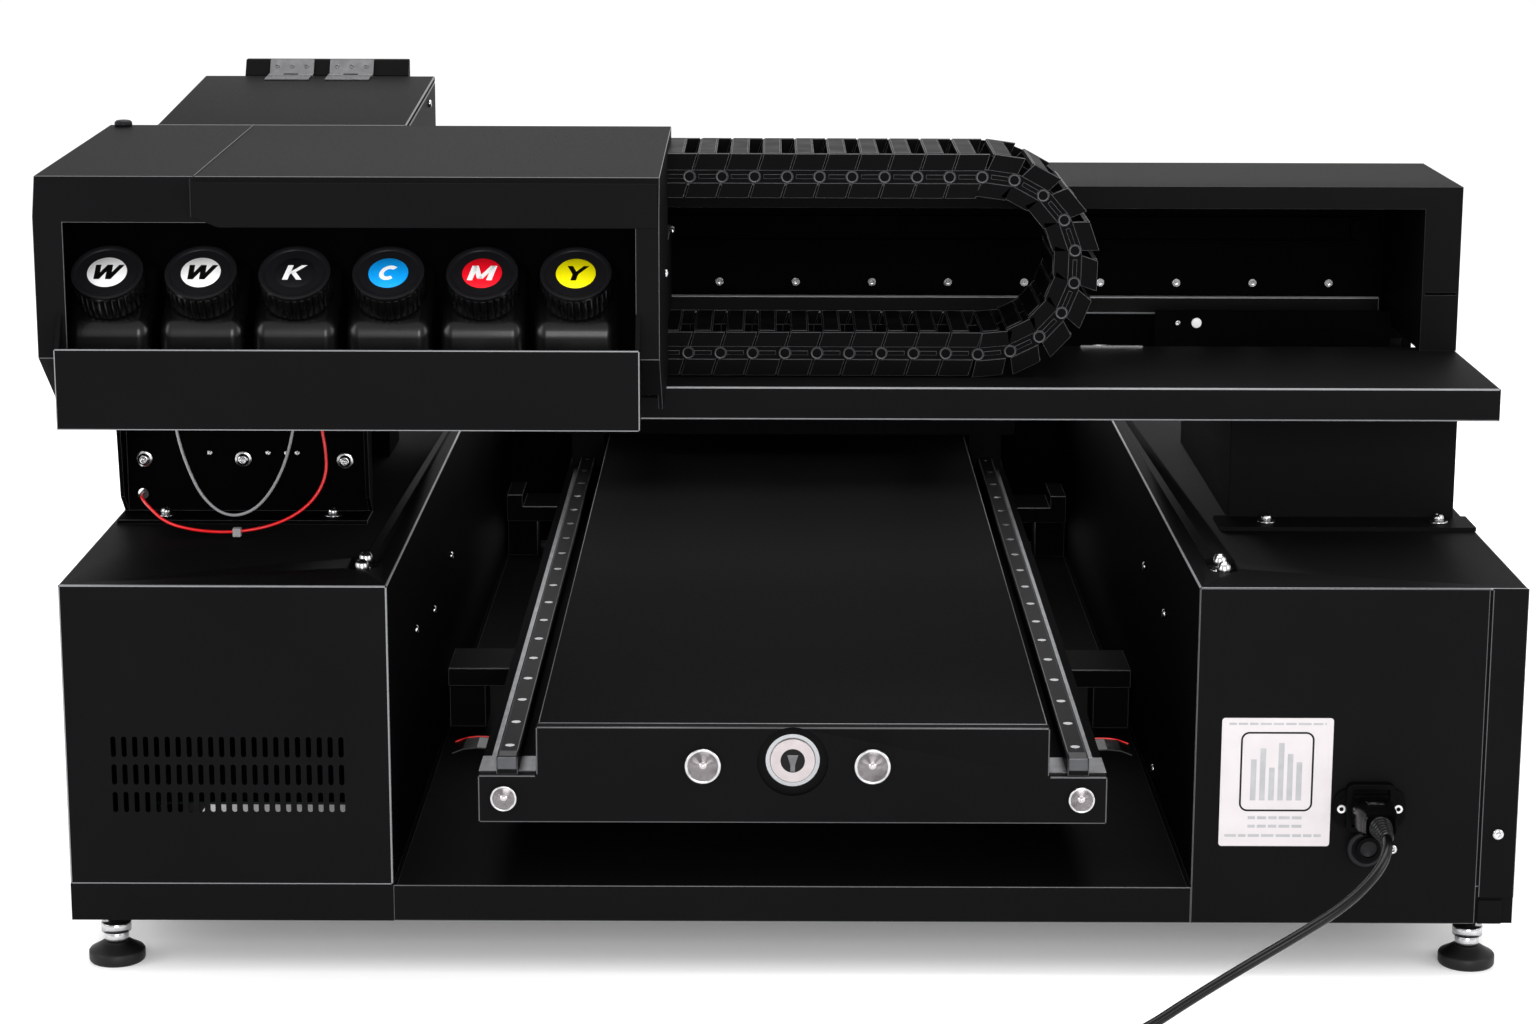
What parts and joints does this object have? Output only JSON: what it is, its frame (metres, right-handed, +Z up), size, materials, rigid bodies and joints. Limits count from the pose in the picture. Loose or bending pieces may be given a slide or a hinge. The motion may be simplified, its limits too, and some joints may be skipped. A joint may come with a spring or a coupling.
{
  "type": "flatbed UV printer",
  "caption": "Flatbed printer with a moving table under a gantry, a print carriage, a cable chain, an ink bay with capped bottles and two box pedestals.",
  "frame": {"origin": "on the floor under the middle of the machine with its table parked, cords not counted", "axes": "+X to the right seen from the service side, along the carriage's travel; +Y from the service side to the operator's side; +Z up"},
  "size_m": [1.02, 1.616, 0.5935],
  "materials": {
    "powder_black": "fine texture powder coat",
    "black_plastic": "moulded",
    "gloss_black": "glossy moulded",
    "steel": "ground",
    "aluminium": "anodised satin",
    "black_alu": "black anodised",
    "zinc": "zinc plated",
    "rubber": "matte",
    "belt_rubber": "toothed belt",
    "board": "solder mask",
    "red_plastic": "glossy moulded",
    "grey_insulation": "extruded",
    "red_insulation": "extruded",
    "cable_jacket": "extruded"
  },
  "bodies": {
    "frame": {"base_rails": "powder_black", "base_tray": "powder_black", "left_pedestal_cover": "powder_black", "right_pedestal_cover": "powder_black", "service_plate": "powder_black", "power_inlet": "black_plastic", "data_socket": "black_plastic", "crossbars": "powder_black", "tunnel_screens": "powder_black", "bed_beam": "black_alu", "end_plate": "powder_black", "screw_bearings": "steel", "y_rails": "steel", "bed_cover": "powder_black", "y_motor": "black_plastic", "gantry_shelf": "powder_black", "left_leg": "powder_black", "right_leg": "powder_black", "gantry_beam": "black_alu", "x_rail": "steel", "gantry_cover": "powder_black", "x_belt": "belt_rubber", "x_motor": "black_plastic", "capping_station": "rubber", "ink_hood": "powder_black", "apron_panel": "powder_black", "ink_bottles": "gloss_black", "bottle_rack": "powder_black", "garage_box": "powder_black", "lid_hinges": "zinc", "electronics": "board", "panel_fasteners": "zinc", "inlet_plug": "cable_jacket", "cord_coil": "cable_jacket", "mains_plug": "cable_jacket", "mains_cord": "cable_jacket", "grey_wire": "grey_insulation", "red_wire": "red_insulation"},
    "lead_screw": {"lead_screw": "steel"},
    "saddle": {"saddle": "black_alu", "rail_blocks": "steel"},
    "table": {"table": "aluminium"},
    "carriage": {"carriage": "black_alu", "print_heads": "zinc", "uv_lamp": "aluminium"},
    "cable_chain": {"cable_chain": "black_plastic"},
    "garage_lid": {"garage_lid": "powder_black"},
    "drive_pulley": {"drive_pulley": "aluminium"},
    "idler_pulley": {"idler_pulley": "aluminium"},
    "estop_button": {"estop_button": "red_plastic"},
    "power_rocker": {"power_rocker": "black_plastic"},
    "foot_near_left": {"foot_near_left": "rubber"},
    "foot_near_right": {"foot_near_right": "rubber"},
    "foot_far_left": {"foot_far_left": "rubber"},
    "foot_far_right": {"foot_far_right": "rubber"},
    "ink_cap_1": {"ink_cap_1": "gloss_black"},
    "ink_cap_2": {"ink_cap_2": "gloss_black"},
    "ink_cap_3": {"ink_cap_3": "gloss_black"},
    "ink_cap_4": {"ink_cap_4": "gloss_black"},
    "ink_cap_5": {"ink_cap_5": "gloss_black"},
    "ink_cap_6": {"ink_cap_6": "gloss_black"}
  },
  "joints": [
    {"name": "table_travel", "type": "slide", "parent": "frame", "child": "saddle", "axis": [0, -1, 0], "range_m": [0, 0.93]},
    {"name": "screw_turn", "type": "hinge", "parent": "frame", "child": "lead_screw", "pos_m": [0, -0.6575, 0.158], "axis": [0, -1, 0], "range_deg": [0, 16742]},
    {"name": "table_lift", "type": "slide", "parent": "saddle", "child": "table", "axis": [0, 0, 1], "range_m": [0, 0.05]},
    {"name": "carriage_travel", "type": "slide", "parent": "frame", "child": "carriage", "axis": [1, 0, 0], "range_m": [0, 0.56], "deforming": ["cable_chain"]},
    {"name": "chain_travel", "type": "slide", "parent": "frame", "child": "cable_chain", "axis": [1, 0, 0], "range_m": [0, 0.281]},
    {"name": "drive_pulley_turn", "type": "hinge", "parent": "frame", "child": "drive_pulley", "pos_m": [0.462, -0.2115, 0.475], "axis": [0, 1, 0], "range_deg": [-3776.8, 0]},
    {"name": "idler_pulley_turn", "type": "hinge", "parent": "frame", "child": "idler_pulley", "pos_m": [-0.492, -0.2115, 0.475], "axis": [0, 1, 0], "range_deg": [-3776.8, 0]},
    {"name": "garage_lid_hinge", "type": "hinge", "parent": "frame", "child": "garage_lid", "pos_m": [-0.386, -0.153, 0.5895], "axis": [-1, 0, 0], "range_deg": [0, 95]},
    {"name": "estop_press", "type": "slide", "parent": "frame", "child": "estop_button", "axis": [0, -1, 0], "range_m": [0, 0.006], "stiffness_N_per_m": 600},
    {"name": "power_rock", "type": "hinge", "parent": "frame", "child": "power_rocker", "pos_m": [0.34, 0.4595, 0.22], "axis": [1, 0, 0], "range_deg": [0, 12]},
    {"name": "foot_near_left_turn", "type": "hinge", "parent": "frame", "child": "foot_near_left", "pos_m": [-0.485, -0.6275, 0], "axis": [0, 0, 1], "range_deg": [-720, 720]},
    {"name": "foot_near_right_turn", "type": "hinge", "parent": "frame", "child": "foot_near_right", "pos_m": [0.485, -0.6275, 0], "axis": [0, 0, 1], "range_deg": [-720, 720]},
    {"name": "foot_far_left_turn", "type": "hinge", "parent": "frame", "child": "foot_far_left", "pos_m": [-0.485, 0.4325, 0], "axis": [0, 0, 1], "range_deg": [-720, 720]},
    {"name": "foot_far_right_turn", "type": "hinge", "parent": "frame", "child": "foot_far_right", "pos_m": [0.485, 0.4325, 0], "axis": [0, 0, 1], "range_deg": [-720, 720]},
    {"name": "ink_cap_1_turn", "type": "hinge", "parent": "frame", "child": "ink_cap_1", "pos_m": [-0.468, -0.6525, 0.5025], "axis": [0, -0.6293, 0.7771], "range_deg": [0, 540]},
    {"name": "ink_cap_2_turn", "type": "hinge", "parent": "frame", "child": "ink_cap_2", "pos_m": [-0.4042, -0.6525, 0.5025], "axis": [0, -0.6293, 0.7771], "range_deg": [0, 540]},
    {"name": "ink_cap_3_turn", "type": "hinge", "parent": "frame", "child": "ink_cap_3", "pos_m": [-0.3404, -0.6525, 0.5025], "axis": [0, -0.6293, 0.7771], "range_deg": [0, 540]},
    {"name": "ink_cap_4_turn", "type": "hinge", "parent": "frame", "child": "ink_cap_4", "pos_m": [-0.2766, -0.6525, 0.5025], "axis": [0, -0.6293, 0.7771], "range_deg": [0, 540]},
    {"name": "ink_cap_5_turn", "type": "hinge", "parent": "frame", "child": "ink_cap_5", "pos_m": [-0.2128, -0.6525, 0.5025], "axis": [0, -0.6293, 0.7771], "range_deg": [0, 540]},
    {"name": "ink_cap_6_turn", "type": "hinge", "parent": "frame", "child": "ink_cap_6", "pos_m": [-0.149, -0.6525, 0.5025], "axis": [0, -0.6293, 0.7771], "range_deg": [0, 540]}
  ],
  "couplings": [
    {"joint": "screw_turn", "follows": "table_travel", "rad_per_m": 314.16},
    {"joint": "chain_travel", "follows": "carriage_travel", "ratio": 0.5},
    {"joint": "drive_pulley_turn", "follows": "carriage_travel", "rad_per_m": -117.65},
    {"joint": "idler_pulley_turn", "follows": "carriage_travel", "rad_per_m": -117.65}
  ]
}
